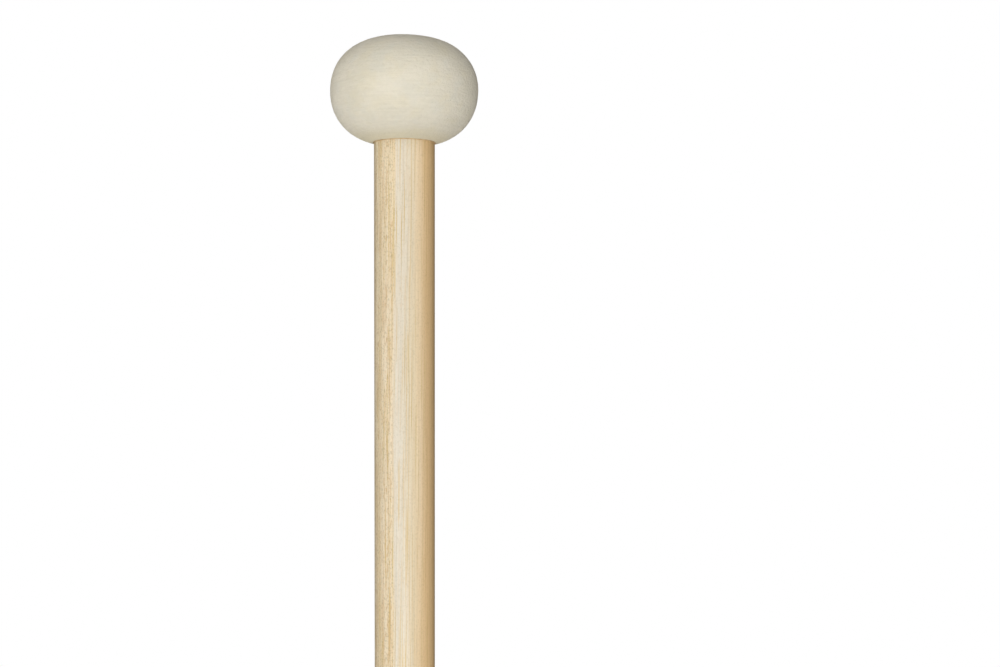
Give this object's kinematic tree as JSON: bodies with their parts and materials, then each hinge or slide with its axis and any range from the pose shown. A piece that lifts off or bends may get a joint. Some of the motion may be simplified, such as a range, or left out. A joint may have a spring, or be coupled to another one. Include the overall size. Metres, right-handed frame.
{
  "type": "bass drum mallet",
  "caption": "Marching bass drum mallet: straight turned hickory shaft with a rounded butt and a hard felt head moulded over a wooden core.",
  "frame": {"origin": "middle of the small flat on the shaft's butt end", "axes": "+Z along the shaft, from the butt towards the head; the mallet is a body of revolution about Z, so X and Y are free"},
  "size_m": [0.0508, 0.0508, 0.3683],
  "materials": {
    "hickory": "satin",
    "maple": "matte",
    "zinc_steel": "satin",
    "underlay_felt": "matte",
    "cover_felt": "matte"
  },
  "bodies": {
    "root": {"shaft": "hickory", "head_core": "maple", "core_washer": "zinc_steel", "core_screw": "zinc_steel", "felt_underlay": "underlay_felt", "felt_cover": "cover_felt"}
  },
  "joints": []
}
